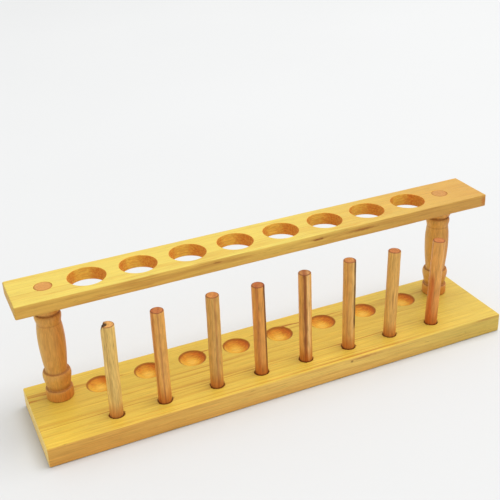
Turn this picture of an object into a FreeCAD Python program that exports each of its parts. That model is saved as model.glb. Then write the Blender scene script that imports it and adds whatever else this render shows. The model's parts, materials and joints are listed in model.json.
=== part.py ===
# Wooden rack for eight laboratory test tubes, with a front row of eight drying pegs.
#
# Two flat boards are held apart by two lathe-turned posts. The narrow upper board, the rail,
# has a row of round holes that the tubes stand in. The wide lower board, the base, has a
# shallow dish under each hole and a glued peg in front of each dish.
#
# Sizes are in millimetres. X runs along the rack, Y towards its back and Z up. The origin lies
# on the surface that the rack stands on, below the middle of the rail's length.
import FreeCAD
import Part
import os
from FreeCAD import Vector
from math import sqrt

# Boards
BASE_LENGTH = 300.0
BASE_WIDTH = 63.4
BASE_THICKNESS = 12.5
RAIL_WIDTH = 33.0
RAIL_THICKNESS = 8.0
RAIL_LEFT_OVERHANG = 0.6       # the rail is a little longer than the base at the left
RAIL_RIGHT_OVERHANG = 4.8      # and clearly longer at the right
EDGE_ROUND = 0.8               # sanded edges of both boards

# Row of tubes
TUBE_COUNT = 8
TUBE_ROW_SETBACK = 17.2        # from the base's back edge to the middle of the holes
TUBE_HOLE_DIAMETER = 22.0
TUBE_HOLE_RIM = 0.3            # sanded rim of each hole
END_HOLE_GAP = 24.7            # from a post's axis to the axis of the nearest hole
DISH_DIAMETER = 17.2
DISH_DEPTH = 3.5
DISH_DRIFT = (-0.4, -0.9, -2.4, -2.9, -2.9, -1.9, -1.4, -0.9)   # sideways, bored by eye

# Turned posts
POST_HEIGHT = 65.0             # from shoulder to shoulder, the gap between the two boards
LEFT_POST_INSET = 18.8         # from the base's left end to the post's axis
RIGHT_POST_INSET = 20.0        # from the base's right end to the post's axis
TENON_DIAMETER = 10.0
TENON_SOCKET_DEPTH = 9.0       # blind socket in the base; the upper tenon goes right through the rail
GLUE_GAP = 0.1                 # all round a tenon or a peg in its socket
COLLAR_DIAMETER = 16.0
COLLAR_HEIGHT = 6.7
COLLAR_ROUND = 0.6
GROOVE_HEIGHT = 1.2
FOOT_GROOVE_DIAMETER = 13.8
TOP_GROOVE_DIAMETER = 14.4
FOOT_BEAD_DIAMETER = 16.4
FOOT_BEAD_TOP_DIAMETER = 15.2
FOOT_BEAD_HEIGHT = 10.0
QUIRK_HEIGHT = 1.0             # the sharp step from the foot bead in to the waist
WAIST_DIAMETER = 12.6
VASE_DIAMETER = 15.5
VASE_SHOULDER = 9.5            # from the widest place of the vase up to the neck
NECK_DIAMETER = 14.3
TOP_BEAD_DIAMETER = 16.1
TOP_BEAD_HEIGHT = 7.0

# Drying pegs
PEG_DIAMETER = 7.8
PEG_PROUD = 60.0               # a peg's height above the base
PEG_SOCKET_DEPTH = 9.0
PEG_CHAMFER = 0.6
PEG_MOUTH = 0.9                # torn and sanded mouth of each peg's socket
PEG_ROW_SETBACK = 13.0         # from the base's front edge to the middle of the pegs
PEG_DRIFT = (-0.4, -1.6, 0.6, -0.6, -0.9, -1.4, -1.7, -0.6)     # sideways, bored by eye
PEG_TRIM = (-0.8, 0.1, 0.8, -0.2, 0.0, 0.6, -0.7, -1.4)         # added to PEG_PROUD
PEG_LEAN = (1.0, 0.2, 0.5, -0.4, -0.2, 0.3, 1.7, 2.8)           # degrees, to the right at the top

# Places that follow from the sizes above
RAIL_LENGTH = RAIL_LEFT_OVERHANG + BASE_LENGTH + RAIL_RIGHT_OVERHANG
RAIL_LEFT = -RAIL_LENGTH / 2
BASE_LEFT = RAIL_LEFT + RAIL_LEFT_OVERHANG
BASE_FRONT = -BASE_WIDTH / 2
RAIL_UNDERSIDE = BASE_THICKNESS + POST_HEIGHT
TUBE_ROW_Y = BASE_WIDTH / 2 - TUBE_ROW_SETBACK
PEG_ROW_Y = BASE_FRONT + PEG_ROW_SETBACK
LEFT_POST_X = BASE_LEFT + LEFT_POST_INSET
RIGHT_POST_X = BASE_LEFT + BASE_LENGTH - RIGHT_POST_INSET
FIRST_HOLE_X = LEFT_POST_X + END_HOLE_GAP
TUBE_PITCH = (RIGHT_POST_X - LEFT_POST_X - 2 * END_HOLE_GAP) / (TUBE_COUNT - 1)
OVERRUN = 5.0                  # how far a drill passes beyond the wood

UP = Vector(0, 0, 1)
LEAN_AXIS = Vector(0, 1, 0)


def hole_x(number):
    """Place along the rack of a tube's hole, counted from 0 at the left."""
    return FIRST_HOLE_X + number * TUBE_PITCH


def drill(diameter, x, y, bottom, top):
    """Upright cylinder that a round hole removes."""
    return Part.makeCylinder(diameter / 2, top - bottom, Vector(x, y, bottom))


def sanded_board(length, width, thickness, x, y, z):
    """Flat board with its lowest left front corner at x, y, z and every edge rounded."""
    board = Part.makeBox(length, width, thickness, Vector(x, y, z))
    return board.makeFillet(EDGE_ROUND, board.Edges)


def flared_rim(diameter, rim, x, y, surface, into):
    """Cone that breaks a hole's rim at a surface; into is -1 to go down from it, 1 to go up."""
    height = rim + OVERRUN
    start = Vector(x, y, surface - into * OVERRUN)
    return Part.makeCone(diameter / 2 + height, diameter / 2, height, start, UP * into)


def dish(x):
    """Ball that scoops one shallow dish out of the base."""
    radius = ((DISH_DIAMETER / 2) ** 2 + DISH_DEPTH ** 2) / (2 * DISH_DEPTH)
    return Part.makeSphere(radius, Vector(x, TUBE_ROW_Y, BASE_THICKNESS - DISH_DEPTH + radius))


def stand_peg(shape, number):
    """Turn an upright shape, drawn about the origin, to a peg's lean and set it in the base."""
    x = hole_x(number) + PEG_DRIFT[number]
    shape.rotate(Vector(0, 0, 0), LEAN_AXIS, PEG_LEAN[number])
    shape.translate(Vector(x, PEG_ROW_Y, BASE_THICKNESS))
    return shape


def peg_socket(number):
    """Blind hole for one peg, with its flared mouth."""
    diameter = PEG_DIAMETER + 2 * GLUE_GAP
    bore = drill(diameter, 0, 0, -PEG_SOCKET_DEPTH, OVERRUN)
    mouth = flared_rim(diameter, PEG_MOUTH, 0, 0, 0, -1)
    return stand_peg(bore.fuse(mouth), number)


def drying_peg(number):
    """Plain round peg, glued in its socket."""
    length = PEG_SOCKET_DEPTH + PEG_PROUD + PEG_TRIM[number]
    peg = drill(PEG_DIAMETER, 0, 0, -PEG_SOCKET_DEPTH, length - PEG_SOCKET_DEPTH)
    rims = [edge for edge in peg.Edges if isinstance(edge.Curve, Part.Circle)]
    return stand_peg(peg.makeChamfer(PEG_CHAMFER, rims), number)


def base_board():
    """Wide lower board with its dishes, peg sockets and post sockets."""
    board = sanded_board(BASE_LENGTH, BASE_WIDTH, BASE_THICKNESS, BASE_LEFT, BASE_FRONT, 0)
    for number in range(TUBE_COUNT):
        board = board.cut(dish(hole_x(number) + DISH_DRIFT[number]))
        board = board.cut(peg_socket(number))
    socket = TENON_DIAMETER + 2 * GLUE_GAP
    for x in (LEFT_POST_X, RIGHT_POST_X):
        bottom = BASE_THICKNESS - TENON_SOCKET_DEPTH
        board = board.cut(drill(socket, x, TUBE_ROW_Y, bottom, BASE_THICKNESS + OVERRUN))
    return board


def top_rail():
    """Narrow upper board with the tube holes and a through hole for each post's tenon."""
    front = TUBE_ROW_Y - RAIL_WIDTH / 2
    top = RAIL_UNDERSIDE + RAIL_THICKNESS
    rail = sanded_board(RAIL_LENGTH, RAIL_WIDTH, RAIL_THICKNESS, RAIL_LEFT, front, RAIL_UNDERSIDE)
    for number in range(TUBE_COUNT):
        place = (hole_x(number), TUBE_ROW_Y)
        rail = rail.cut(drill(TUBE_HOLE_DIAMETER, *place, RAIL_UNDERSIDE - OVERRUN, top + OVERRUN))
        rail = rail.cut(flared_rim(TUBE_HOLE_DIAMETER, TUBE_HOLE_RIM, *place, top, -1))
        rail = rail.cut(flared_rim(TUBE_HOLE_DIAMETER, TUBE_HOLE_RIM, *place, RAIL_UNDERSIDE, 1))
    socket = TENON_DIAMETER + 2 * GLUE_GAP
    for x in (LEFT_POST_X, RIGHT_POST_X):
        rail = rail.cut(drill(socket, x, TUBE_ROW_Y, RAIL_UNDERSIDE - OVERRUN, top + OVERRUN))
    return rail


def on_profile(diameter, height):
    """Point of the turned profile at a height above the lower shoulder."""
    return Vector(diameter / 2, 0, height)


def flank(wide, narrow):
    """Arc that leaves the widest place of the vase upright and ends at a narrower place."""
    rise = narrow.z - wide.z
    narrowing = wide.x - narrow.x
    radius = (rise ** 2 + narrowing ** 2) / (2 * narrowing)
    half_way = wide.x - radius + sqrt(radius ** 2 - (rise / 2) ** 2)
    return Part.Arc(wide, Vector(half_way, 0, wide.z + rise / 2), narrow).toShape()


def bulge(low, diameter, high):
    """Arc from a low point to a high point that swells out to a diameter half way up."""
    return Part.Arc(low, on_profile(diameter, (low.z + high.z) / 2), high).toShape()


def straight(*points):
    """Straight edges through the points."""
    return [Part.makeLine(a, b) for a, b in zip(points, points[1:])]


def collar(bottom, top):
    """Edges of a plain collar, from its lower face to its upper one."""
    inner = COLLAR_DIAMETER - 2 * COLLAR_ROUND
    low = on_profile(COLLAR_DIAMETER, bottom + COLLAR_ROUND)
    high = on_profile(COLLAR_DIAMETER, top - COLLAR_ROUND)
    return straight(on_profile(inner, bottom), low, high, on_profile(inner, top))


def turned_profile():
    """Half outline of a post, from the foot of its lower tenon to the end of its upper one."""
    bead_bottom = COLLAR_HEIGHT + GROOVE_HEIGHT
    bead_top = bead_bottom + FOOT_BEAD_HEIGHT
    top_collar = POST_HEIGHT - COLLAR_HEIGHT
    top_bead_top = top_collar - GROOVE_HEIGHT
    neck_height = top_bead_top - TOP_BEAD_HEIGHT
    collar_face = COLLAR_DIAMETER - 2 * COLLAR_ROUND

    foot_end = on_profile(0, -TENON_SOCKET_DEPTH)
    foot_rim = on_profile(TENON_DIAMETER, -TENON_SOCKET_DEPTH)
    foot_shoulder = [on_profile(TENON_DIAMETER, 0), on_profile(collar_face, 0)]
    foot_groove = [on_profile(collar_face, COLLAR_HEIGHT),
                   on_profile(FOOT_GROOVE_DIAMETER, COLLAR_HEIGHT),
                   on_profile(FOOT_GROOVE_DIAMETER, bead_bottom)]
    bead_edge = on_profile(FOOT_BEAD_TOP_DIAMETER, bead_top)
    quirk = [bead_edge,
             on_profile(WAIST_DIAMETER, bead_top),
             on_profile(WAIST_DIAMETER, bead_top + QUIRK_HEIGHT)]
    widest = on_profile(VASE_DIAMETER, neck_height - VASE_SHOULDER)
    neck = on_profile(NECK_DIAMETER, neck_height)
    top_groove = [on_profile(TOP_GROOVE_DIAMETER, top_bead_top),
                  on_profile(TOP_GROOVE_DIAMETER, top_collar),
                  on_profile(collar_face, top_collar)]
    top_shoulder = [on_profile(collar_face, POST_HEIGHT), on_profile(TENON_DIAMETER, POST_HEIGHT)]
    tenon_rim = on_profile(TENON_DIAMETER, POST_HEIGHT + RAIL_THICKNESS)
    tenon_end = on_profile(0, POST_HEIGHT + RAIL_THICKNESS)

    edges = straight(foot_end, foot_rim, *foot_shoulder)
    edges += collar(0, COLLAR_HEIGHT)
    edges += straight(*foot_groove)
    edges += [bulge(foot_groove[-1], FOOT_BEAD_DIAMETER, bead_edge)]
    edges += straight(*quirk)
    edges += [flank(widest, quirk[-1]), flank(widest, neck)]
    edges += [bulge(neck, TOP_BEAD_DIAMETER, top_groove[0])]
    edges += straight(*top_groove)
    edges += collar(top_collar, POST_HEIGHT)
    edges += straight(*top_shoulder, tenon_rim, tenon_end, foot_end)
    return edges


def post(x):
    """One turned post, standing on the base below its hole in the rail."""
    outline = Part.Wire(Part.__sortEdges__(turned_profile()))
    turned = Part.Face(outline).revolve(Vector(0, 0, 0), UP, 360)
    turned.translate(Vector(x, TUBE_ROW_Y, BASE_THICKNESS))
    return turned


def main():
    pieces = {
        "base_board": base_board(),
        "top_rail": top_rail(),
        "left_post": post(LEFT_POST_X),
        "right_post": post(RIGHT_POST_X),
    }
    for number in range(TUBE_COUNT):
        pieces[f"drying_peg_{number + 1}"] = drying_peg(number)
    os.makedirs("parts", exist_ok=True)
    for name, shape in pieces.items():
        shape.exportStep(f"parts/{name}.step")
        print(f"{name}: {shape.Volume / 1000:.2f} cm3, {len(shape.Solids)} solid, valid {shape.isValid()}")


main()
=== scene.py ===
# %% [markdown]
# # A wooden rack for eight test tubes
#
# This lesson dresses a measured model of a small school-laboratory rack. Two pale boards are
# held apart by two turned posts. The upper board, the rail, has eight round holes; the lower
# one, the base, has a shallow dish under each hole and a row of eight drying pegs in front.
# Everything is wood under a clear, thin lacquer, so the lesson is mostly about wood: how it is
# cut, how its grain runs through it, and how it wears at the edges.

# %% Load the measured model
import json
from math import atan2, cos, pi, radians, sin, sqrt

import bmesh
import bpy
from mathutils import Matrix, Vector, noise


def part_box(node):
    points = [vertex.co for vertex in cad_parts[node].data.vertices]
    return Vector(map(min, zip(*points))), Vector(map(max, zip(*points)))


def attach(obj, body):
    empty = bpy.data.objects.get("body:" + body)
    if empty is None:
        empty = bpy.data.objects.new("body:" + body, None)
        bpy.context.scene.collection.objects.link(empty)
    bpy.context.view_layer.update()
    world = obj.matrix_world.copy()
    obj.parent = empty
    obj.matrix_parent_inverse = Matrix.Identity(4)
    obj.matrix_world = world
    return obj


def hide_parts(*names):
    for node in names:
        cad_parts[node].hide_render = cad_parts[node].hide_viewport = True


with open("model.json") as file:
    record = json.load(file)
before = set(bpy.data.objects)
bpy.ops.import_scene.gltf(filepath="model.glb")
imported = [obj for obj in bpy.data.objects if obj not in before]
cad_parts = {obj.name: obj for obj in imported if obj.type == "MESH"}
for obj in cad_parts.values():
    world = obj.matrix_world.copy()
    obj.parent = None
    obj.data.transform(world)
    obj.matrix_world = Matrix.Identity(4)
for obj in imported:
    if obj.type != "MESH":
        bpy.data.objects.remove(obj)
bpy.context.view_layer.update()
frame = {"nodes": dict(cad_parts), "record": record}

# %% [markdown]
# ## Where everything is
#
# The measured model says where each piece lies, so nothing is placed by eye. The boards give
# their own boxes. The record lists the axis of every tube hole and of every peg, and those
# axes carry the small leans of pegs that were bored by hand. All lengths are in metres, so a
# millimetre gets a name of its own.

# %% Sizes read from the model
MM = 0.001
axes = {mount["name"]: mount for mount in frame["record"]["mounts"]}
base_low, base_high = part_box("base_board")
rail_low, rail_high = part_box("top_rail")
COUNT = sum(name.startswith("tube_hole_") for name in axes)
tube_holes = [Vector(axes[f"tube_hole_{n + 1}"]["pos_m"]) for n in range(COUNT)]
TUBE_HOLE_RADIUS = axes["tube_hole_1"]["dims"]["r_mm"] * MM
PEG_RADIUS = axes["drying_peg_1"]["dims"]["r_mm"] * MM
TENON_RADIUS = 5.0 * MM
GLUE_GAP = 0.1 * MM
tube_row_y = tube_holes[0].y


def post_axis(node):
    """Foot of a post's axis, at the top of the base."""
    low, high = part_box(node)
    middle = (low + high) / 2
    return Vector((middle.x, middle.y, base_high.z))


def measured_dish(hole):
    """Middle, radius and depth of the dish below a tube hole, from the points of its rim."""
    near = [v.co for v in frame["nodes"]["base_board"].data.vertices
            if abs(v.co.x - hole.x) < 13 * MM and abs(v.co.y - hole.y) < 10 * MM]
    rim = [co.x for co in near if abs(co.z - base_high.z) < 0.02 * MM]
    depth = base_high.z - min(co.z for co in near if co.z > base_high.z - 5 * MM)
    middle = Vector(((min(rim) + max(rim)) / 2, hole.y, base_high.z))
    return middle, (max(rim) - min(rim)) / 2, depth


post_feet = {"left": post_axis("left_post"), "right": post_axis("right_post")}
dishes, dish_radii, dish_depths = zip(*[measured_dish(hole) for hole in tube_holes])
DISH_RADIUS = max(dish_radii)
DISH_DEPTH = max(dish_depths)
print(COUNT, "tube holes of radius", TUBE_HOLE_RADIUS, "and dishes", round(DISH_DEPTH / MM, 2), "mm deep")

# %% [markdown]
# ## One way to write every node tree
#
# Shapes and finishes are both node trees, so one small class wraps a socket and lets sums be
# written as sums: each + or * adds a Math node. A second class holds the tree itself, and its
# one method adds any other node: its type, then its settings, then what goes into its sockets.

# %% Sockets that do sums
class Wire:
    """One output socket. Sums on it add Math nodes to its tree."""

    def __init__(self, tree, socket):
        self.tree = tree
        self.socket = socket

    def math(self, operation, *others):
        return self.tree.math(operation, self, *others)

    def __add__(self, other):
        return self.math("ADD", other)

    __radd__ = __add__

    def __sub__(self, other):
        return self.math("SUBTRACT", other)

    def __rsub__(self, other):
        return self.tree.math("SUBTRACT", other, self)

    def __mul__(self, other):
        return self.math("MULTIPLY", other)

    __rmul__ = __mul__

    def __truediv__(self, other):
        return self.math("DIVIDE", other)

    def __pow__(self, other):
        return self.math("POWER", other)

    def __abs__(self):
        return self.math("ABSOLUTE")


class Tree:
    """A node tree, for a finish or for a shape."""

    def __init__(self, tree):
        self.tree = tree

    def node(self, kind, settings=None, inputs=None, output=0):
        made = self.tree.nodes.new(kind)
        for name, value in (settings or {}).items():
            setattr(made, name, value)
        for name, value in (inputs or {}).items():
            if isinstance(value, Wire):
                self.tree.links.new(value.socket, made.inputs[name])
            else:
                made.inputs[name].default_value = value
        return Wire(self, made.outputs[output]) if made.outputs else None

    def math(self, operation, *values):
        return self.node("ShaderNodeMath", {"operation": operation}, dict(enumerate(values)))

    def parts(self, vector):
        """The three numbers of a vector."""
        split = self.node("ShaderNodeSeparateXYZ", {}, {0: vector})
        return [Wire(self, socket) for socket in split.socket.node.outputs]

    def join(self, x, y, z):
        return self.node("ShaderNodeCombineXYZ", {}, {0: x, 1: y, 2: z})

    def vector(self, operation, *values):
        return self.node("ShaderNodeVectorMath", {"operation": operation}, dict(enumerate(values)))


# %% [markdown]
# ## A lathe made of nodes
#
# Posts, pegs, and even the drills that bore the holes are all round, so one tree turns them
# all. It takes an outline, a chain of points that each have a radius and a height, and lays a
# sheet of points over it: one row for each point of the outline and one column for each step
# round. Turning is never quite true, so a little noise pushes the skin in and out. The outline
# also carries a mark, which says where a drill tears the wood, or where a post has a groove
# in which dirt gathers and which is painted darker as shade.

# %% The lathe
def shape_tree(name, sockets):
    """A new geometry tree with named inputs: its wrapper and the wires of its inputs."""
    group = bpy.data.node_groups.new(name, "GeometryNodeTree")
    group.interface.new_socket("Geometry", in_out="OUTPUT", socket_type="NodeSocketGeometry")
    for label, kind in [("Geometry", "Geometry"), *sockets, ("Finish", "Material")]:
        group.interface.new_socket(label, in_out="INPUT", socket_type="NodeSocket" + kind)
    entry = group.nodes.new("NodeGroupInput")
    tree = Tree(group)
    return tree, {s.name: Wire(tree, s) for s in entry.outputs if s.name}


def end_tree(tree, geometry, finish):
    """Every tree ends in real geometry that carries its finish."""
    solid = tree.node("GeometryNodeRealizeInstances", {}, {"Geometry": geometry})
    painted = tree.node("GeometryNodeSetMaterial", {}, {"Geometry": solid, "Material": finish})
    way_out = tree.tree.nodes.new("NodeGroupOutput")
    tree.tree.links.new(painted.socket, way_out.inputs[0])
    return tree.tree


def make_lathe():
    tree, given = shape_tree("turn on the lathe", [
        ("Steps Around", "Int"), ("Unevenness", "Float"), ("Seed", "Float")])
    outline = given["Geometry"]
    size = tree.node("GeometryNodeAttributeDomainSize", {"component": "MESH"}, {"Geometry": outline})
    columns = given["Steps Around"] + 1
    sheet = tree.node("GeometryNodeMeshGrid", {}, {"Vertices X": size, "Vertices Y": columns})
    index = tree.node("GeometryNodeInputIndex")
    row = ((index + 0.5) / columns).math("FLOOR")
    turn = (index - row * columns) * (2 * pi) / given["Steps Around"]

    def read(kind, value):
        return tree.node("GeometryNodeSampleIndex", {"data_type": kind},
                         {"Geometry": outline, "Value": value, "Index": row})

    place = tree.node("GeometryNodeInputPosition")
    marking = tree.node("GeometryNodeInputNamedAttribute", {"data_type": "FLOAT"}, {"Name": "mark"})
    radius, _, height = tree.parts(read("FLOAT_VECTOR", place))
    outward = tree.join(turn.math("COSINE"), turn.math("SINE"), 0.0)
    skin = tree.node("ShaderNodeVectorMath", {"operation": "SCALE"}, {0: outward, 3: radius})
    skin = tree.vector("ADD", skin, tree.join(0.0, 0.0, height))
    swelling = tree.node("ShaderNodeTexNoise", {"noise_dimensions": "4D"},
                         {"Vector": skin, "W": given["Seed"], "Scale": 90.0, "Detail": 1.0}) - 0.5
    push = swelling * 2 * given["Unevenness"] * radius.math("GREATER_THAN", 1e-5)
    pushed = tree.node("ShaderNodeVectorMath", {"operation": "SCALE"}, {0: outward, 3: push})
    turned = tree.node("GeometryNodeSetPosition", {},
                       {"Geometry": sheet, "Position": tree.vector("ADD", skin, pushed)})
    for kind, name, value in (("FLOAT", "mark", read("FLOAT", marking)),
                              ("FLOAT_VECTOR", "outward", outward)):
        turned = tree.node("GeometryNodeStoreNamedAttribute", {"data_type": kind},
                           {"Geometry": turned, "Name": name, "Value": value})
    closed = tree.node("GeometryNodeMergeByDistance", {}, {"Geometry": turned, "Distance": 1e-6})
    smooth = tree.node("GeometryNodeSetShadeSmooth", {}, {0: closed, "Shade Smooth": True})
    return end_tree(tree, smooth, given["Finish"])


lathe = make_lathe()
print("the lathe takes", [s.name for s in lathe.interface.items_tree if s.in_out == "INPUT"])

# %% [markdown]
# A tree becomes a piece in one step: an object gets the tree as a modifier, its inputs are set
# by their identifiers before anything is worked out, and the result is copied into a plain
# mesh. After that the modifier is gone, and the piece's normals are pointed outwards.

# %% From a tree to a plain piece
def solid_from(tree, name, start, **inputs):
    """A plain mesh object made by a tree from a starting mesh."""
    maker = bpy.data.objects.new(name + "_maker", start)
    bpy.context.scene.collection.objects.link(maker)
    modifier = maker.modifiers.new("make", "NODES")
    modifier.node_group = tree
    for socket in tree.interface.items_tree:
        label = socket.name.replace(" ", "_").lower()
        if socket.in_out == "INPUT" and inputs.get(label) is not None:
            modifier[socket.identifier] = inputs[label]
    made = plain_copy(maker, name)
    bpy.data.objects.remove(maker)
    return made


def plain_copy(source, name):
    """The evaluated shape of an object, as a new object with a plain mesh."""
    graph = bpy.context.evaluated_depsgraph_get()
    mesh = bpy.data.meshes.new_from_object(source.evaluated_get(graph), depsgraph=graph)
    made = bpy.data.objects.new(name, mesh)
    bpy.context.scene.collection.objects.link(made)
    return made


def outline_mesh(points):
    """A chain of (radius, height, mark) points as a mesh of edges for the lathe."""
    chain = bpy.data.meshes.new("outline")
    edges = [(n, n + 1) for n in range(len(points) - 1)]
    chain.from_pydata([(radius, 0, height) for radius, height, _ in points], edges, [])
    chain.attributes.new("mark", "FLOAT", "POINT").data.foreach_set("value", [p[2] for p in points])
    return chain


def turn_piece(name, points, steps, finish=None, unevenness=0.0, seed=0.0):
    """A round piece turned from an outline that starts and ends on the axis."""
    made = solid_from(lathe, name, outline_mesh(points), steps_around=steps,
                      unevenness=unevenness, seed=seed, finish=finish)
    face_outwards(made.data)
    return made


def face_outwards(mesh):
    work = bmesh.new()
    work.from_mesh(mesh)
    bmesh.ops.recalc_face_normals(work, faces=work.faces)
    work.to_mesh(mesh)
    work.free()


def arc(start, end, bow, steps, skew=1.0):
    """Points after start up to end on a curve that swells outwards, highest towards the end."""
    (r0, z0), (r1, z1) = start, end
    shares = [n / steps for n in range(1, steps + 1)]
    return [(r0 + (r1 - r0) * t + bow * 4 * t ** skew * (1 - t ** skew), z0 + (z1 - z0) * t)
            for t in shares]


# %% [markdown]
# ## Drills
#
# Every hole in the rack was bored by a drill, so it is made the same way here: a drill is
# turned, set along its row, and taken away from the board. A bit that goes through wood lifts
# a few fibres where it comes out, and sanding then rounds what it left. So each drill gets
# wider in a small curve where it passes the board's skin, with the mark set there.

# %% Drill shapes
BIT_STEPS = 112
RIM = 0.35 * MM
CLEAR = 4 * MM


def sanded_rim(radius, surface, into, rim=RIM, mark=1.0, steps=4):
    """Outline points of a rounded rim, from the bore's wall out to the board's skin."""
    angles = [pi / 2 * n / steps for n in range(steps + 1)]
    return [(radius + rim * (1 - cos(a)), surface + into * rim * (1 - sin(a)), mark * sin(a))
            for a in angles]


def through_bit(radius, bottom, top, rim=RIM, ragged=1.0):
    """A drill that goes right through a board, rounded at both skins."""
    wide = radius + rim
    lower = sanded_rim(radius, bottom, 1, rim, ragged)[::-1]
    upper = sanded_rim(radius, top, -1, rim, 0.35 * ragged)
    wall = [(radius, bottom + (top - bottom) * t, 0.08) for t in (0.25, 0.5, 0.75)]
    return [(0, bottom - CLEAR, 0), (wide, bottom - CLEAR, ragged), *lower, *wall, *upper,
            (wide, top + CLEAR, 0.35 * ragged), (0, top + CLEAR, 0)]


def blind_bit(radius, top, depth, rim, ragged=1.0):
    """A drill that stops inside a board."""
    mouth = sanded_rim(radius, top, -1, rim, ragged)
    wide = radius + rim
    return [(0, top - depth, 0), (radius, top - depth, 0), (radius, top - depth / 2, 0.1), *mouth,
            (wide, top + CLEAR, ragged), (0, top + CLEAR, 0)]


def dish_bit(radius, top, depth, rings=14):
    """A round-nosed cutter that leaves a shallow bowl with a soft edge."""
    ball = (radius ** 2 + depth ** 2) / (2 * depth)
    reach = atan2(radius, ball - depth)
    bowl = [(ball * sin(reach * n / rings), top + ball - depth - ball * cos(reach * n / rings), 0.06)
            for n in range(rings)]
    lip = [(radius + 0.10 * MM, top - 0.04 * MM, 0.5), (radius + 0.28 * MM, top, 0.5)]
    return [*bowl, *lip, (radius + 0.28 * MM, top + CLEAR, 0.5), (0, top + CLEAR, 0)]


# %% A row of drills, made by a tree
def make_row():
    tree, given = shape_tree("set along a row", [("Tool", "Object"), ("Tear", "Float")])
    tool = tree.node("GeometryNodeObjectInfo", {"transform_space": "ORIGINAL"},
                     {"Object": given["Tool"]}, output="Geometry")
    lean = tree.node("GeometryNodeInputNamedAttribute", {"data_type": "FLOAT"}, {"Name": "lean"})
    tilt = tree.node("FunctionNodeEulerToRotation", {}, {0: tree.join(0.0, lean, 0.0)})
    copies = tree.node("GeometryNodeInstanceOnPoints", {},
                       {"Points": given["Geometry"], "Instance": tool, "Rotation": tilt})
    solid = tree.node("GeometryNodeRealizeInstances", {}, {"Geometry": copies})
    mark = tree.node("GeometryNodeInputNamedAttribute", {"data_type": "FLOAT"}, {"Name": "mark"})
    outward = tree.node("GeometryNodeInputNamedAttribute", {"data_type": "FLOAT_VECTOR"},
                        {"Name": "outward"})
    along_grain = tree.parts(outward)[0] ** 2 + 0.2
    fibres = tree.node("ShaderNodeTexNoise", {}, {"Scale": 620.0, "Detail": 2.0}) - 0.35
    pull = fibres * given["Tear"] * mark * along_grain
    torn = tree.node("ShaderNodeVectorMath", {"operation": "SCALE"}, {0: outward, 3: pull})
    ragged = tree.node("GeometryNodeSetPosition", {}, {"Geometry": solid, "Offset": torn})
    return end_tree(tree, ragged, given["Finish"])


row_of = make_row()


def set_along(name, tool, places, leans=None, tear=0.3 * MM):
    """Copies of a tool at the places of a row, each with its own ragged edge."""
    points = bpy.data.meshes.new("places")
    points.from_pydata(places, [], [])
    lean = points.attributes.new("lean", "FLOAT", "POINT")
    lean.data.foreach_set("value", leans or [0.0] * len(places))
    made = solid_from(row_of, name, points, tool=tool, tear=tear)
    bpy.data.objects.remove(tool)
    return made


# %% [markdown]
# ## The two boards
#
# A board starts as a plank with six flat sides. Sandpaper then breaks its edges, and years on a
# bench wear them more in some places than in others. So each point near an edge is drawn in
# to a rounded corner, and the size of that corner changes slowly along the board. The points
# lie close together near the edges, where the shape needs them, and far apart on the flats.

# %% A sanded plank
def spaced(low, high, step, close):
    """Places from low to high, crowded over the first and last few tenths of a millimetre."""
    edge = [0, 0.15, 0.35, 0.6, 0.9, 1.3, 1.9]
    near = [low + close * e for e in edge]
    far = [high - close * e for e in reversed(edge)]
    count = max(1, round((far[0] - near[-1]) / step))
    middle = [near[-1] + (far[0] - near[-1]) * n / count for n in range(1, count)]
    return [*near, *middle, *far]


def worn_round(point, seed):
    """How large the rounded edge is at a place: 0.5 to 1.1 mm, changing slowly."""
    slow = noise.noise(Vector((point.x * 45, point.y * 60 + seed, point.z * 60)))
    quick = noise.noise(Vector((point.x * 260, point.y * 260, point.z * 260 + seed)))
    return (0.78 + 0.26 * slow + 0.10 * quick) * MM


def sanded_plank(name, low, high, seed):
    """A plank with rounded, unevenly worn edges, between two corners."""
    grid = bmesh.new()
    lines = [spaced(low[axis], high[axis], step, MM)
             for axis, step in enumerate((3.0 * MM, 3.0 * MM, 2.5 * MM))]
    middle = (low + high) / 2
    half = (high - low) / 2
    corners = {}

    def corner(*steps):
        if steps not in corners:
            point = Vector(lines[axis][step] for axis, step in enumerate(steps))
            round_off = worn_round(point, seed)
            offset = point - middle
            inner = Vector(max(-h + round_off, min(h - round_off, o)) for h, o in zip(half, offset))
            out = offset - inner
            if out.length > 0:
                offset = inner + out.normalized() * round_off
            corners[steps] = grid.verts.new(middle + offset)
        return corners[steps]

    for axis in range(3):
        one, two = (axis + 1) % 3, (axis + 2) % 3
        for side in (0, len(lines[axis]) - 1):
            for i in range(len(lines[one]) - 1):
                for j in range(len(lines[two]) - 1):
                    face = []
                    for a, b in ((i, j), (i + 1, j), (i + 1, j + 1), (i, j + 1)):
                        steps = [0, 0, 0]
                        steps[axis], steps[one], steps[two] = side, a, b
                        face.append(corner(*steps))
                    grid.faces.new(face)
    bmesh.ops.recalc_face_normals(grid, faces=grid.faces)
    mesh = bpy.data.meshes.new(name)
    grid.to_mesh(mesh)
    grid.free()
    made = bpy.data.objects.new(name, mesh)
    bpy.context.scene.collection.objects.link(made)
    return made


def bore(plank, *drills):
    """Takes the drills away from the plank, and keeps the flats flat where they meet a rim."""
    for drill in drills:
        cut = plank.modifiers.new("bore", "BOOLEAN")
        cut.operation = "DIFFERENCE"
        cut.solver = "EXACT"
        cut.object = drill
    bored = plain_copy(plank, plank.name + "_bored")
    bored.data.shade_smooth()
    bored.data.set_sharp_from_angle(angle=radians(50))
    weights = bored.modifiers.new("weigh", "WEIGHTED_NORMAL")
    weights.keep_sharp = True
    weights.weight = 90
    name = plank.name
    for spent in (plank, *drills):
        bpy.data.objects.remove(spent)
    made = plain_copy(bored, name)
    bpy.data.objects.remove(bored)
    return made


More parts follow.
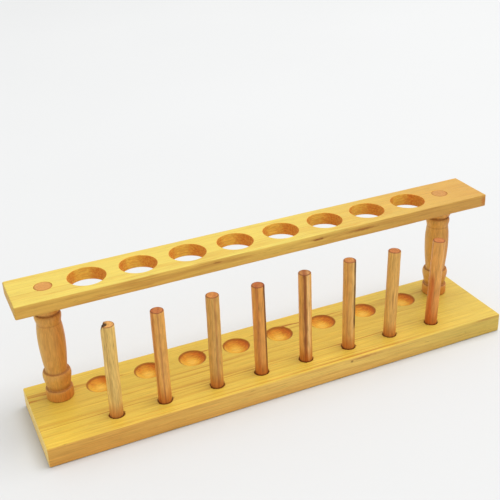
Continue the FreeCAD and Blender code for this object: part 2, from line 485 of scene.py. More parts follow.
# %% Bore the rail
tube_bit = turn_piece("tube_bit", through_bit(TUBE_HOLE_RADIUS, -(rail_high.z - rail_low.z), 0), BIT_STEPS)
tube_bits = set_along("tube_bits", tube_bit, [(h.x, h.y, rail_high.z) for h in tube_holes])
tenon_bit = turn_piece("tenon_bit", through_bit(TENON_RADIUS + GLUE_GAP, -(rail_high.z - rail_low.z), 0,
                                                rim=0.25 * MM), 64)
tenon_bits = set_along("tenon_bits", tenon_bit, [(f.x, f.y, rail_high.z) for f in post_feet.values()])
rail = bore(sanded_plank("rail", rail_low, rail_high, seed=3.0), tube_bits, tenon_bits)
print("the rail has", len(rail.data.polygons), "faces")

# %% Bore the base
pegs = [axes[f"drying_peg_{n + 1}"] for n in range(COUNT)]
peg_leans = [atan2(peg["axis"][0], peg["axis"][2]) for peg in pegs]
peg_heights = [peg["dims"]["length_mm"] * MM for peg in pegs]
peg_feet = [Vector(peg["pos_m"]) - Vector(peg["axis"]) * height / 2 for peg, height in zip(pegs, peg_heights)]
dish_cutter = turn_piece("dish_cutter", dish_bit(DISH_RADIUS, 0, DISH_DEPTH), 80)
dish_cutters = set_along("dish_cutters", dish_cutter, dishes, tear=0.15 * MM)
SOCKET_DEPTH = 9 * MM
peg_bit = turn_piece("peg_bit", blind_bit(PEG_RADIUS + GLUE_GAP, 0, SOCKET_DEPTH, rim=0.55 * MM), 56)
peg_bits = set_along("peg_bits", peg_bit, peg_feet, peg_leans, tear=2.4 * MM)
foot_bit = turn_piece("foot_bit", blind_bit(TENON_RADIUS + GLUE_GAP, 0, SOCKET_DEPTH, rim=0.3 * MM), 56)
foot_bits = set_along("foot_bits", foot_bit, list(post_feet.values()))
base = bore(sanded_plank("base", base_low, base_high, seed=11.0), dish_cutters, peg_bits, foot_bits)
print("the base has", len(base.data.polygons), "faces; the pegs lean", [round(a * 180 / pi, 1) for a in peg_leans])

# %% [markdown]
# Fresh cuts look different from planed flats. A drill leaves short torn fibres, which drink more
# lacquer and turn more orange, and no sandpaper reaches the bottom of a hole. So each corner of
# each face is told how far inside a bore it lies, and in a dish also how near the middle. The
# finish also paints light with these marks: a highlight and a shaded rim in each dish, and in
# the sockets dirt with painted shade that deepens downwards.

# %% Tell the finish where the drills have been
def piece_top(piece):
    return max(corner[2] for corner in piece.bound_box)


def planed(piece, face):
    """True on a board's flat top and its flat underside, which no drill has cut."""
    heights = [corner[2] for corner in piece.bound_box]
    nearest = min(max(heights) - face.center.z, face.center.z - min(heights))
    return abs(face.normal.z) > 0.999 and nearest < 0.01 * MM


def mark_bores(piece, bores):
    """Face-corner marks from 0 to 1: bored in a bore, hollow towards a dish's middle, and in a socket dirt with
    painted shade, darker deeper down.
    """
    mesh = piece.data
    marks = {name: [0.0] * len(mesh.loops) for name in ("bored", "hollow", "dirt")}
    for face in mesh.polygons:
        if planed(piece, face):
            continue
        for middle, radius, rim, kind in bores:
            if (face.center.xy - middle.xy).length > radius + rim:
                continue
            for loop in face.loop_indices:
                place = mesh.vertices[mesh.loops[loop].vertex_index].co
                away = (place.xy - middle.xy).length
                marks["bored"][loop] = max(0.0, min(1.0, (radius + rim - away) / rim))
                if kind == "dish":
                    marks["hollow"][loop] = max(0.0, 1 - away / radius)
                if kind == "socket":
                    # dirt and painted shade: darker with depth into the gap round the peg or tenon, most along the
                    # grain
                    along = abs(place.x - middle.x) / max(away, 0.1 * MM)
                    marks["dirt"][loop] = min(1.0, (piece_top(piece) - place.z) / (0.8 * MM)) * (0.15 + 0.85 * along)
    for name, values in marks.items():
        mesh.attributes.new(name, "FLOAT", "CORNER").data.foreach_set("value", values)


def remember_stock(piece, centre, order):
    """Stores where each point lay in its plank or stick, in millimetres, fibres along the third."""
    places = []
    for vertex in piece.data.vertices:
        place = (vertex.co - centre) / MM
        places += [place[axis] for axis in order]
    piece.data.attributes.new("stock", "FLOAT_VECTOR", "POINT").data.foreach_set("vector", places)


mark_bores(rail, [(h, TUBE_HOLE_RADIUS, RIM, "hole") for h in tube_holes]
           + [(f, TENON_RADIUS, RIM, "socket") for f in post_feet.values()])
mark_bores(base, [(d, DISH_RADIUS, 0.3 * MM, "dish") for d in dishes]
           + [(f, PEG_RADIUS, 2.2 * MM, "socket") for f in peg_feet]
           + [(f, TENON_RADIUS, RIM, "socket") for f in post_feet.values()])
ALONG_X = (1, 2, 0)
ALONG_Z = (0, 1, 2)
remember_stock(rail, Vector((0, tube_row_y, rail_high.z)), ALONG_X)
remember_stock(base, Vector((0, 0, base_high.z)), ALONG_X)

# %% [markdown]
# ## The turned posts
#
# Each post is one stick turned on a lathe: a plain collar at each end, a groove and a long bead
# above the lower collar, a sharp step, a slender vase, and a round bead below the upper collar.
# A tenon at each end goes into the boards. The upper one passes through the rail and is
# sanded flush, so its end grain shows as a small disc. The outline below is that list, read
# from the foot up, with small curves where a turner's tool would leave them.

# %% The outline of a post
POST_GAP = rail_low.z - base_high.z
RAIL_THICKNESS = rail_high.z - rail_low.z
COLLAR_RADIUS = 8.0 * MM
COLLAR_HEIGHT = 6.7 * MM
GROOVE_HEIGHT = 1.5 * MM
FOOT_GROOVE_RADIUS = 6.8 * MM
TOP_GROOVE_RADIUS = 6.6 * MM
FOOT_BEAD_TOP_RADIUS = 7.6 * MM
FOOT_BEAD_HEIGHT = 10.0 * MM
QUIRK_HEIGHT = 1.0 * MM
WAIST_RADIUS = 6.3 * MM
VASE_RADIUS = 7.75 * MM
VASE_SHOULDER = 9.5 * MM
NECK_RADIUS = 7.0 * MM
TOP_BEAD_HEIGHT = 7.0 * MM
FOOT_BEAD_SWELL = 0.80 * MM
TOP_BEAD_SWELL = 0.80 * MM


def collar(low, high):
    """A plain collar with both edges rounded."""
    soft = 0.6 * MM
    steps = [pi / 2 * n / 5 for n in range(6)]
    inner = COLLAR_RADIUS - soft
    # the lower edge is marked dark where the collar meets what lies below, the upper edge a little: dirt and painted
    # shade
    lower = [(inner + soft * sin(a), low + soft * (1 - cos(a)), 0.9 * cos(a)) for a in steps]
    middle = [(COLLAR_RADIUS, low + (high - low) * t, 0) for t in (0.35, 0.5, 0.65)]
    upper = [(inner + soft * cos(a), high - 2 * soft * (1 - sin(a)), 0.4 * sin(a)) for a in steps]
    return lower + middle + upper


def flank(wide, narrow, steps):
    """A circular arc that leaves the widest place of the vase upright."""
    rise = abs(narrow[1] - wide[1])
    narrowing = wide[0] - narrow[0]
    bend = (rise ** 2 + narrowing ** 2) / (2 * narrowing)
    points = []
    for n in range(steps + 1):
        height = wide[1] + (narrow[1] - wide[1]) * n / steps
        points.append((wide[0] - bend + sqrt(bend ** 2 - (height - wide[1]) ** 2), height, 0))
    return points


def groove(radius, low, high):
    """A flat-bottomed groove, marked dark all along for dirt and painted shade."""
    return [(radius, low, 1), (radius, (low + high) / 2, 1), (radius, high, 1)]


def post_outline():
    bead_bottom = COLLAR_HEIGHT + GROOVE_HEIGHT
    bead_top = bead_bottom + FOOT_BEAD_HEIGHT
    top_collar = POST_GAP - COLLAR_HEIGHT
    bead_2_top = top_collar - GROOVE_HEIGHT
    neck = bead_2_top - TOP_BEAD_HEIGHT
    widest = (VASE_RADIUS, neck - VASE_SHOULDER)
    waist = bead_top + QUIRK_HEIGHT
    end = POST_GAP + RAIL_THICKNESS
    chamfer = 0.3 * MM
    foot_bead = arc((FOOT_GROOVE_RADIUS + 0.3 * MM, bead_bottom), (FOOT_BEAD_TOP_RADIUS, bead_top),
                    FOOT_BEAD_SWELL, 16, skew=1.9)
    top_bead = arc((NECK_RADIUS, neck), (TOP_GROOVE_RADIUS + 0.2 * MM, bead_2_top), TOP_BEAD_SWELL, 14,
                   skew=1.9)
    lower_vase = flank(widest, (WAIST_RADIUS, waist), 18)[::-1]
    upper_vase = flank(widest, (NECK_RADIUS, neck), 10)[1:]
    # the marks darken the grooves, the step under the vase and the ends of both beads next to the grooves: dirt and
    # painted shade
    return [(0, -SOCKET_DEPTH + GLUE_GAP, 0), (TENON_RADIUS, -SOCKET_DEPTH + GLUE_GAP, 0), (TENON_RADIUS, 0, 1),
            *collar(0, COLLAR_HEIGHT), *groove(FOOT_GROOVE_RADIUS, COLLAR_HEIGHT, bead_bottom),
            *[(r, z, max(0, 0.8 - n * 0.25)) for n, (r, z) in enumerate(foot_bead)],
            (FOOT_BEAD_TOP_RADIUS - 0.3 * MM, bead_top + 0.12 * MM, 0.6),
            (WAIST_RADIUS, bead_top + 0.2 * MM, 1), *lower_vase, *upper_vase,
            *[(r, z, max(0, (n - 10) * 0.25, 0.7 - n * 0.3)) for n, (r, z) in enumerate(top_bead)],
            *groove(TOP_GROOVE_RADIUS, bead_2_top, top_collar),
            *collar(top_collar, POST_GAP), (TENON_RADIUS, POST_GAP, 1),
            *[(TENON_RADIUS, POST_GAP + RAIL_THICKNESS * t, 0) for t in (0.3, 0.6, 0.9)],
            (TENON_RADIUS, end - chamfer, 0.8), (TENON_RADIUS - chamfer, end, 0.6),
            *[(TENON_RADIUS * t, end, 0) for t in (0.85, 0.6, 0.3)], (0, end, 0)]


# %% Turn the two posts
POST_STEPS = 96
posts = {}
for side, foot in post_feet.items():
    post = turn_piece(side + "_turned_post", post_outline(), POST_STEPS, unevenness=0.10 * MM,
                      seed=4.0 if side == "left" else 9.0)
    remember_stock(post, Vector((0, 0, 0)), ALONG_Z)
    post.data.transform(Matrix.Translation(foot))
    posts[side] = post
print("a post has", len(post.data.polygons), "faces and stands", round(POST_GAP / MM, 1), "mm between the boards")

# %% [markdown]
# ## The drying pegs
#
# The pegs are lengths of dowel rod, pushed with glue into blind holes bored by hand, so no two
# stand at quite the same height or angle. Each was sawn off, and its top edge only lightly
# sanded. The lathe makes them too, and then each one is leaned to the axis in the record. The
# first peg has lost a chip from its top edge.

# %% Turn the eight pegs
PEG_STEPS = 80
PEG_CHAMFER = 0.55 * MM


def peg_outline(height):
    soft = PEG_CHAMFER
    corner = [(PEG_RADIUS - soft + soft * cos(a), height - soft + soft * sin(a), 0.9 * sin(a))
              for a in (pi / 2 * n / 4 for n in range(5))]
    flat = [(PEG_RADIUS * t, height, 0) for t in (0.78, 0.7, 0.6, 0.5, 0.35, 0.2)]
    shaft = [(PEG_RADIUS, height * n / 24, 0.0) for n in range(1, 23)]
    shaft += [(PEG_RADIUS, height - gap * MM, 0.0) for gap in (2.6, 2.0, 1.5, 1.1)]
    return [(0, -SOCKET_DEPTH, 0), (PEG_RADIUS, -SOCKET_DEPTH, 0), (PEG_RADIUS, -1 * MM, 1),
            (PEG_RADIUS, 0, 0.8), (PEG_RADIUS, 0.8 * MM, 0.15), *shaft, *corner, *flat, (0, height, 0)]


def chip(piece, where, size, depth):
    """Breaks a piece out of an edge: points near a place are pushed in, and the dent is painted dark."""
    dirt = piece.data.attributes.new("dirt", "FLOAT", "POINT")
    for vertex in piece.data.vertices:
        away = (vertex.co - where).length / size
        if away < 1:
            bite = depth * sqrt(1 - away ** 2)
            rough = 1 + 0.4 * noise.noise(vertex.co * 1500)
            inward = Vector((-vertex.co.x, -vertex.co.y, 0)).normalized()
            vertex.co += (inward * 0.7 + Vector((0, 0, -0.8))) * bite * rough
            dirt.data[vertex.index].value = min(1.0, 4.0 * (1 - away))


peg_pieces = []
for n, (foot, lean, height) in enumerate(zip(peg_feet, peg_leans, peg_heights)):
    peg = turn_piece(f"peg_{n + 1}", peg_outline(height), PEG_STEPS, unevenness=0.16 * MM, seed=20.0 + n)
    if n == 0:
        chip(peg, Vector((-2.7 * MM, 1.1 * MM, height)), 2.9 * MM, 1.2 * MM)
    remember_stock(peg, Vector((0, 0, 0)), ALONG_Z)
    peg.data.transform(Matrix.Translation(foot) @ Matrix.Rotation(lean, 4, "Y"))
    peg_pieces.append(peg)
print("the pegs stand", [round(h / MM, 1) for h in peg_heights], "mm proud")

# %% [markdown]
# ## What wood looks like
#
# A tree adds a ring each year: pale soft wood in spring, then a thin darker line in summer. A
# board or a peg is a straight piece cut out of those rings, so its pattern is the rings' shells
# seen where the cut meets them. The finish below therefore works out, at each point of the
# stick, how far it lay from the heart of its tree. Fibres run along the third axis, so every
# other detail is a noise stretched along it: soft bands of colour, fine hairs, and short dark
# pores. Where a surface cuts across the fibres, it shows end grain, which is darker.

# %% The tools of a finish
class Finish(Tree):
    """A material's tree with the few extra nodes that a wood finish needs."""

    def __init__(self, name):
        self.material = bpy.data.materials.new(name)
        self.material.use_nodes = True
        self.material.node_tree.nodes.clear()
        super().__init__(self.material.node_tree)

    def blend(self, share, first, second, mode="MIX"):
        """Colour one turning into colour two as the share goes from 0 to 1."""
        return self.node("ShaderNodeMix", {"data_type": "RGBA", "blend_type": mode, "clamp_factor": True},
                         {0: share, 6: first, 7: second}, output=2)

    def rise(self, value, low, high, bottom=0.0, top=1.0):
        """A smooth step from bottom to top as the value goes from low to high."""
        return self.node("ShaderNodeMapRange", {"interpolation_type": "SMOOTHSTEP"},
                         {"Value": value, "From Min": low, "From Max": high, "To Min": bottom, "To Max": top})

    def mark(self, name):
        """A number stored on the piece, or 0 where it has none."""
        return self.node("ShaderNodeAttribute", {"attribute_name": name}, output=2)

    def finish(self, colour, roughness, normal, **constants):
        shader = self.node("ShaderNodeBsdfPrincipled", {}, {
            "Base Color": colour, "Roughness": roughness, "Normal": normal, **constants})
        self.node("ShaderNodeOutputMaterial", {}, {"Surface": shader})
        return self.material


def rgb(red, green, blue):
    """A colour as the eye's 0 to 255 values, turned into the amounts of light that they stand for."""
    steps = [value / 255 for value in (red, green, blue)]
    return (*[s / 12.92 if s <= 0.04045 else ((s + 0.055) / 1.055) ** 2.4 for s in steps], 1)


# the dark colour of dirt and painted shade, in the sockets and in the chip of the first peg
DIRT_AND_SHADE = rgb(40, 20, 10)


# %% The wood itself
def wood(name, pale, summer, warm, heart=(10.0, 30.0), ring=2.2, summer_share=0.6, warm_share=0.5,
         wander=3.0, hair=0.16, pore=0.3, fibre_axis=0, cut=None, stains=(), bumps=1.0,
         roughness=0.42, edge_warmth=0.0, grime_and_shade=0.35, ends=None, end_share=0.5, side=None,
         side_bands=0.0, gaps=0.0, dished=0.0, shortness=1.0, mottle=0.15, settled=None, fineness=4.0,
         seed=0.0):
    """A lacquered wood. Lengths are in millimetres, and heart is where the tree's middle lay."""
    finish = Finish(name)
    stock = finish.node("ShaderNodeAttribute", {"attribute_name": "stock"}, output=1)
    across, through, along = finish.parts(stock)

    def stretched(per_mm, along_per_mm, detail=2.0, shift=0.0):
        """A noise that is fine across the fibres and long along them, from 0 to 1."""
        place = finish.join(across * per_mm + (shift + 3.7 * seed), through * per_mm, along * along_per_mm)
        return finish.node("ShaderNodeTexNoise", {}, {"Vector": place, "Scale": 1.0, "Detail": detail})

    sway = (stretched(0.05, 0.008, 2.0, 5.0) - 0.5) * wander
    drift = (stretched(0.5, 0.03, 2.0, 9.0) - 0.5) * 0.6 * ring
    from_heart = ((across - heart[0] + sway) ** 2 + (through - heart[1] + sway * 0.6) ** 2) ** 0.5
    age = (from_heart + drift) / ring
    pace = finish.node("ShaderNodeTexNoise", {"noise_dimensions": "1D"}, {"W": age * 0.3, "Scale": 1.0})
    age = age + pace * 2.5
    year = age.math("FLOOR")
    season = age - year
    luck = finish.node("ShaderNodeTexWhiteNoise", {"noise_dimensions": "1D"}, {"W": year})
    late = season ** fineness * finish.rise(season, 0.9, 1.0, 1.0, 0.0) * (luck * 1.2 + 0.1)
    late = late * finish.rise(stretched(0.6, 0.012, 2.0, 6.0), 0.35, 0.62, 0.3, 1.4)
    late = late * finish.rise(stretched(0.09, 0.010, 2.0, 16.0), 0.36, 0.64, 1 - gaps, 1.0)

    bands = stretched(0.22, 0.004, 3.0, 2.0)
    clouds = stretched(0.03, 0.006, 2.0, 3.0)
    hairs = stretched(2.4, 0.03 * shortness, 3.0, 1.0)
    lines = stretched(5.0, 0.06 * shortness, 1.0, 4.0)
    pores = finish.rise(stretched(3.2, 0.18, 1.0, 7.0), 0.66, 0.78)
    facing = finish.parts(finish.node("ShaderNodeNewGeometry", {}, output="Normal"))
    end_grain = finish.rise(abs(facing[fibre_axis]), 0.45, 0.95)
    upright = 1 - finish.rise(abs(facing[2]), 0.2, 0.8)

    colour = finish.blend(finish.rise(bands * 0.6 + clouds * 0.4, 0.36, 0.66) * warm_share, pale, warm)
    colour = finish.blend(late * summer_share, colour, summer)
    if edge_warmth:
        colour = finish.blend(upright * edge_warmth, colour, side[0])
        sawn = finish.rise(stretched(0.45, 0.02, 3.0, 12.0), 0.46, 0.66)
        colour = finish.blend(upright * sawn * side_bands, colour, side[1])
        flecks = finish.rise(stretched(0.9, 0.07, 3.0, 14.0), 0.60, 0.72)
        colour = finish.blend(upright * flecks * side_bands, colour, side[1])
        # painted shade: upright faces turn towards side[2] over their lower part, darkest side[3] below the top
        low = finish.rise(through, -0.35 * side[3], -side[3])
        colour = finish.blend(upright * low * 0.75, colour, side[2])
    for stain in stains:
        colour = stain(finish, colour, across, through, along)
    ringed = finish.rise(late + (lines - 0.5) * 0.8, 0.0, 0.9, 0.75, 1.0)
    colour = finish.blend(end_grain * end_share * ringed, colour, ends or summer)
    bored = finish.mark("bored")
    if cut:
        across_cut = finish.rise(abs(facing[fibre_axis]), 0.15, 0.75)
        torn = finish.rise(stretched(1.1, 0.22, 3.0, 8.0), 0.30, 0.66)
        fresh = finish.blend(torn * 0.45 + across_cut * 0.55, cut[0], cut[1])
        hollow = finish.mark("hollow")
        fresh = finish.blend(finish.rise(hollow, 0.20, 0.75) * 0.6, fresh, cut[2])
        # painted light: bored walls whose normals point right and back, towards the lamp, turn to the lighter cut[2]
        sunny = facing[0] * 0.9 + facing[1] * 0.5
        fresh = finish.blend(finish.rise(sunny, 0.08, 0.5) * dished * 0.75, fresh, cut[2])
        # painted shade: walls that face away from the lamp take the darker cut[1]
        shady = finish.rise(sunny, -0.15, -0.6) * finish.rise(torn, 0.0, 1.0, 0.5, 1.0)
        fresh = finish.blend(shady * dished * 0.75, fresh, cut[1])
        # painted highlight: a pale patch in the middle of each dish
        fresh = finish.blend(finish.rise(hollow, 0.45, 0.95) * dished * 0.45, fresh, cut[4])
        # painted shade: a dark ring just inside each dish's rim; where hollow is 0, in the base's sockets, the bored
        # wood takes this dark colour all over
        fresh = finish.blend(finish.rise(hollow, 0.20, 0.04) * dished * 0.9, fresh, cut[3])
        colour = finish.blend(bored * 0.92, colour, fresh)

    # torn fibres at drilled rims, and on the turned pieces grooves, creases and edges painted darker for dirt and
    # shade
    colour = finish.blend(finish.mark("mark") * grime_and_shade, colour, settled or summer)
    # dirt and painted shade: darkest deep in the gap round each peg, and in the chip of the first peg
    colour = finish.blend(finish.mark("dirt") * 0.9, colour, DIRT_AND_SHADE)
    mottling = stretched(0.8, 0.14, 4.0, 18.0)
    shade = 1 + (hairs - 0.5) * hair * 2 + (lines - 0.5) * hair - pores * pore + (mottling - 0.5) * mottle
    tinted = finish.node("ShaderNodeVectorMath", {"operation": "SCALE"}, {0: colour, 3: shade})

    height = hairs * 0.5 + lines * 0.3 - pores * 0.6 - late * 0.3
    swell = finish.node("ShaderNodeTexNoise", {}, {"Vector": stock, "Scale": 0.12, "Detail": 2.0})
    bump = finish.node("ShaderNodeBump", {}, {"Strength": 0.55, "Distance": 0.00012 * bumps, "Height": height})
    bump = finish.node("ShaderNodeBump", {}, {"Strength": 0.6, "Distance": 0.0006 * bumps, "Height": swell,
                                              "Normal": bump})
    dull = roughness + (hairs - 0.5) * 0.18 + late * 0.05 + end_grain * 0.18 + bored * 0.2 + pores * 0.15
    return finish.finish(tinted, dull, bump, IOR=1.45, **{"Specular IOR Level": 0.25})


# %% Paint the pieces
def facing_front(finish):
    """1 on a board's front face, 0 on its top, its back and its ends."""
    facing = finish.parts(finish.node("ShaderNodeNewGeometry", {}, output="Normal"))
    return finish.rise(facing[1], -0.5, -0.9)


def ripen(low, high, colour, share, front_only=False):
    """The wood turns slowly towards another colour from one place along it to another."""
    def stain(finish, before, across, through, along):
        mask = finish.rise(along, low, high) * share
        return finish.blend(mask * facing_front(finish) if front_only else mask, before, colour)
    return stain


def streak(angle, offset, width, colour, share, low=-200.0, high=200.0):
    """A band that runs along the stick: mostly a dark layer of the tree where it meets the skin; the pale ones are
    painted highlights.
    """
    def stain(finish, before, across, through, along):
        aside = across * cos(angle) + through * sin(angle) - offset
        ragged = finish.node("ShaderNodeTexNoise", {}, {
            "Vector": finish.join(across * 0.8, through * 0.8, along * 0.09), "Scale": 1.0, "Detail": 3.0})
        aside = abs(aside + (ragged - 0.5) * width * 1.2)
        mask = finish.rise(aside, 0.0, width, 1.0, 0.0) * share
        mask = mask * finish.rise(along, low, low + 6) * finish.rise(along, high - 6, high, 1.0, 0.0)
        return finish.blend(mask, before, colour)
    return stain


def scar(along_at, through_at, length, height, colour, share):
    """A dark fleck in a board's front face: a small knot or a torn place that took up dirt."""
    def stain(finish, before, across, through, along):
        ragged = finish.node("ShaderNodeTexNoise", {}, {
            "Vector": finish.join(across, through * 1.2, along * 0.5), "Scale": 1.0, "Detail": 3.0})
        far = (((along - along_at) / length) ** 2 + ((through - through_at) / height) ** 2) ** 0.5
        mask = finish.rise(far + (ragged - 0.5) * 1.2, 0.2, 1.0, 1.0, 0.0)
        mask = mask * facing_front(finish)
        return finish.blend(mask * share, before, colour)
    return stain


def flush(angle, low, high, colour, share):
    """One side of a round stick has ripened to another colour."""
    def stain(finish, before, across, through, along):
        aside = across * cos(angle) + through * sin(angle)
        return finish.blend(finish.rise(aside, low, high) * share, before, colour)
    return stain


BESIDE = radians(-23)
DARK = rgb(84, 36, 18)
RUST = rgb(170, 88, 42)
# Five colours for bored wood: fresh cut; cut across the fibres, also the painted shade on walls that face away from
# the lamp; the long-grain middle of a dish, also the painted light on walls that face the lamp; a dark colour
# painted as shade at a dish's rim and in the base's sockets; and a pale painted highlight in a dish. Only a finish
# with dished set paints the light and shade.
dish_cut_and_light_colours = (rgb(222, 150, 36), rgb(190, 84, 16), rgb(238, 188, 62), rgb(148, 70, 8), rgb(246, 206, 100))
hole_cuts = (rgb(248, 206, 86), rgb(214, 122, 40), rgb(236, 184, 62), rgb(150, 66, 12), rgb(236, 184, 62))
base_finish = wood("base_wood", rgb(220, 188, 76), rgb(176, 94, 20), rgb(214, 170, 60), heart=(18, -40),
                   ring=2.1, summer_share=1.0, warm_share=0.4, cut=dish_cut_and_light_colours, fibre_axis=0,
                   # side[2] and side[3] give painted shade low on the upright faces
                   edge_warmth=0.9, side=(rgb(234, 194, 100), rgb(196, 132, 58), rgb(218, 160, 76), 12.5),
                   # the pale ends colour is painted light: it lifts the left end, which faces away from the lamp
                   side_bands=0.35, ends=rgb(252, 226, 146), end_share=0.75, hair=0.36, gaps=0.45, dished=1.0, fineness=2.4,
                   stains=[ripen(30, 150, rgb(202, 176, 80), 0.7),
                           ripen(40, -140, rgb(206, 140, 56), 0.6, front_only=True),
                           # this one is only a darker strip near the right-hand end of the front face
                           scar(149.0, -6.0, 1.6, 12.0, rgb(150, 112, 44), 0.6),
                           scar(36.5, -2.4, 1.6, 0.9, DARK, 0.8),
                           scar(46.0, -1.6, 14.0, 1.2, RUST, 0.45),
                           scar(138.0, -0.8, 14.0, 1.0, RUST, 0.4)])
rail_finish = wood("rail_wood", rgb(212, 190, 88), rgb(188, 128, 42), rgb(206, 168, 68), heart=(-9, -60),
                   ring=1.9, summer_share=0.6, warm_share=0.4, cut=hole_cuts, fibre_axis=0,
                   # side[2] and side[3] give painted shade low on the upright faces
                   edge_warmth=0.9, side=(rgb(230, 190, 90), rgb(176, 114, 50), rgb(220, 172, 82), 8.0),
                   side_bands=0.5, ends=rgb(190, 140, 66), hair=0.3, gaps=0.3, fineness=3.0,
                   stains=[ripen(-10, 150, rgb(190, 132, 62), 0.7),
                           ripen(40, -140, rgb(206, 140, 56), 0.35, front_only=True),
                           # this one is only a darker strip near the right-hand end of the front face
                           scar(151.0, -4.0, 2.4, 5.0, rgb(186, 100, 38), 0.6),
                           scar(29.6, -3.1, 6.0, 1.0, rgb(128, 52, 14), 0.85),
                           scar(61.5, -3.4, 14.0, 1.2, rgb(140, 64, 18), 0.6),
                           scar(-35.9, -2.2, 4.0, 0.8, rgb(140, 64, 18), 0.5)])
post_finishes = [wood(f"{side}_post_wood", rgb(220, 168, 84), rgb(150, 84, 30), rgb(204, 134, 58),
                      heart=(26, 40), ring=1.0, summer_share=0.25, hair=0.3, fibre_axis=2, grime_and_shade=0.48,
                      ends=disc, end_share=0.8, shortness=2.0, mottle=0.45, seed=seed,
                      stains=[flush(BESIDE, 1.0, 7.0, rgb(202, 122, 50), 0.5),
                              flush(BESIDE, -2.0, -7.0, rgb(224, 180, 90), 0.6),
                              ripen(10.0, 2.0, rgb(206, 118, 40), 0.5)])
                 for seed, (side, disc) in enumerate(zip(posts, (rgb(182, 124, 68), rgb(164, 108, 62))))]


def peg_wood(number, pale, summer, warm, stains=(), hair=0.44, warm_share=0.6, ends=rgb(170, 92, 48)):
    angle = 0.9 * number
    foot = ripen(13.0, 0.0, rgb(188, 96, 30), 0.7)
    return wood(f"peg_{number}_wood", pale, summer, warm, heart=(20 * cos(angle), 20 * sin(angle)), ring=0.9,
                summer_share=0.35, hair=hair, warm_share=warm_share, fibre_axis=2, stains=[*stains, foot],
                ends=ends, end_share=0.9, grime_and_shade=0.8, settled=rgb(104, 48, 20), pore=0.4, shortness=2.6,
                mottle=0.8, seed=number)


peg_finishes = [
    peg_wood(1, rgb(228, 190, 108), rgb(176, 122, 58), rgb(212, 164, 84), ends=rgb(190, 126, 72),
             stains=[streak(BESIDE, -1.2, 1.0, rgb(160, 112, 56), 0.35)]),
    peg_wood(2, rgb(226, 166, 84), rgb(160, 88, 40), rgb(210, 134, 64), ends=rgb(146, 66, 44),
             stains=[streak(BESIDE, 0.6, 0.9, rgb(150, 84, 52), 0.5), streak(BESIDE, -2.6, 1.0, RUST, 0.5)]),
    peg_wood(3, rgb(212, 162, 84), rgb(160, 96, 44), rgb(196, 134, 62), ends=rgb(172, 98, 50),
             stains=[streak(BESIDE, 1.4, 1.2, rgb(176, 112, 58), 0.6)]),
    peg_wood(4, rgb(224, 158, 76), rgb(150, 82, 36), rgb(206, 130, 58), ends=rgb(134, 56, 38),
             stains=[streak(BESIDE, 3.4, 0.9, DARK, 0.95), streak(BESIDE, -1.0, 1.2, RUST, 0.5)]),
    peg_wood(5, rgb(226, 164, 80), rgb(160, 88, 38), rgb(212, 142, 62), ends=rgb(140, 82, 50),
             # the pale band right of the middle is a painted highlight
             stains=[streak(BESIDE, 1.9, 1.6, rgb(246, 204, 136), 0.6),
                     streak(BESIDE, -0.3, 2.0, rgb(116, 44, 16), 0.8)]),
    peg_wood(6, rgb(220, 166, 84), rgb(160, 96, 42), rgb(208, 140, 64), ends=rgb(158, 88, 50),
             stains=[streak(BESIDE, 3.1, 1.1, rgb(44, 22, 10), 0.95, low=12.0),
                     # the pale band right of the middle is a painted highlight
                     streak(BESIDE, 1.9, 1.0, rgb(240, 196, 124), 0.4), streak(BESIDE, -1.6, 0.8, RUST, 0.4)]),
    peg_wood(7, rgb(224, 174, 92), rgb(170, 100, 50), rgb(212, 152, 72), ends=rgb(152, 62, 40),
             stains=[streak(BESIDE, 0.2, 0.5, rgb(120, 60, 24), 0.6, low=18.0, high=34.0)]),
    peg_wood(8, rgb(230, 172, 92), rgb(170, 98, 42), rgb(218, 148, 70), ends=rgb(156, 74, 46),
             stains=[ripen(40.0, 6.0, rgb(206, 116, 48), 0.5), streak(BESIDE, -2.4, 2.2, rgb(190, 82, 24), 0.7, high=38.0)]),
]
for piece, material, slot in [(rail, rail_finish, "rail_wood"), (base, base_finish, "base_wood"),
                              *[(post, own, "post_wood") for post, own in zip(posts.values(), post_finishes)],
                              *[(peg, own, "peg_wood") for peg, own in zip(peg_pieces, peg_finishes)]]:
    piece.data.materials.clear()
    piece.data.materials.append(material)

# %% [markdown]
# ## Hand the pieces over
#
# Each finished piece stands in for the measured one and moves with the same body.

# %% Tie the pieces to the model
stand_ins = {"base_board": base, "top_rail": rail, "left_post": posts["left"], "right_post": posts["right"]}
for n, peg in enumerate(peg_pieces):
    stand_ins[f"drying_peg_{n + 1}"] = peg
for node, piece in stand_ins.items():
    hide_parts(node)
    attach(piece, "root")
print(len(stand_ins), "pieces stand in for", len(frame["nodes"]), "measured ones")

# %% [markdown]
# ## Floor, light and camera
#
# The rack stands on a wide white sheet under a big soft light, high above it on the right, so the
# soft shadows fall to the left. A dim even sky fills them.

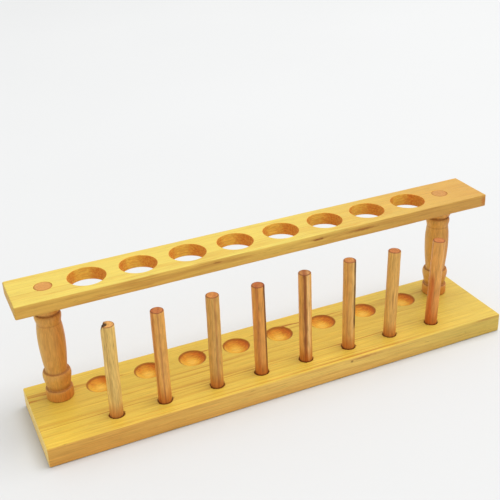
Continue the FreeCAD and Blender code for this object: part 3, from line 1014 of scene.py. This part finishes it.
# %% Stage
FLOOR_SIZE = 12.0
sheet = bmesh.new()
bmesh.ops.create_grid(sheet, x_segments=2, y_segments=2, size=FLOOR_SIZE / 2)
floor_mesh = bpy.data.meshes.new("floor")
sheet.to_mesh(floor_mesh)
sheet.free()
floor = bpy.data.objects.new("floor", floor_mesh)
floor.location.z = -0.1 * MM        # a hair below the base, so that the two faces don't coincide
bpy.context.scene.collection.objects.link(floor)
paper = Finish("white_paper")
fibre = paper.node("ShaderNodeTexNoise", {}, {"Scale": 40.0, "Detail": 2.0})
floor_mesh.materials.append(paper.finish(
    paper.blend(fibre, (0.62, 0.625, 0.625, 1), (0.64, 0.645, 0.645, 1)), fibre * 0.05 + 0.85,
    paper.node("ShaderNodeBump", {}, {"Strength": 0.1, "Distance": 0.0002, "Height": fibre}),
    **{"Specular IOR Level": 0.1}))

world = bpy.data.worlds.new("studio")
bpy.context.scene.world = world
world.use_nodes = True
world.node_tree.nodes["Background"].inputs["Color"].default_value = (1.0, 1.0, 1.0, 1)
world.node_tree.nodes["Background"].inputs["Strength"].default_value = 0.80

lamp_data = bpy.data.lights.new("overhead", "AREA")
lamp_data.shape = "DISK"
lamp_data.size = 3.2
lamp_data.energy = 118.0
lamp = bpy.data.objects.new("overhead", lamp_data)
lamp.location = (1.25, 0.1, 3.7)
lamp.rotation_mode = "QUATERNION"
lamp.rotation_quaternion = lamp.location.to_track_quat("Z", "Y")
bpy.context.scene.collection.objects.link(lamp)

# %% Camera
CAMERA_PLACE = Vector((-0.19703, -0.42499, 0.31908))
CAMERA_AZIMUTH = radians(-23.264)
CAMERA_ELEVATION = radians(26.806)
CAMERA_ROLL = radians(-2.506)
lens = bpy.data.cameras.new("camera")
lens.sensor_width = 36.0
lens.lens = 63.92
lens.shift_x = -0.001
lens.shift_y = -0.0006
lens.clip_start = 0.01
lens.clip_end = 40.0
camera = bpy.data.objects.new("camera", lens)
back = Vector((sin(CAMERA_AZIMUTH) * cos(CAMERA_ELEVATION), -cos(CAMERA_AZIMUTH) * cos(CAMERA_ELEVATION),
               sin(CAMERA_ELEVATION)))
side = Vector((0, 0, 1)).cross(back).normalized()
above = back.cross(side)
right = side * cos(CAMERA_ROLL) + above * sin(CAMERA_ROLL)
camera.matrix_world = Matrix((right, back.cross(right), back)).transposed().to_4x4()
camera.location = CAMERA_PLACE
bpy.context.scene.collection.objects.link(camera)
bpy.context.scene.camera = camera
bpy.context.scene.view_settings.view_transform = "Standard"
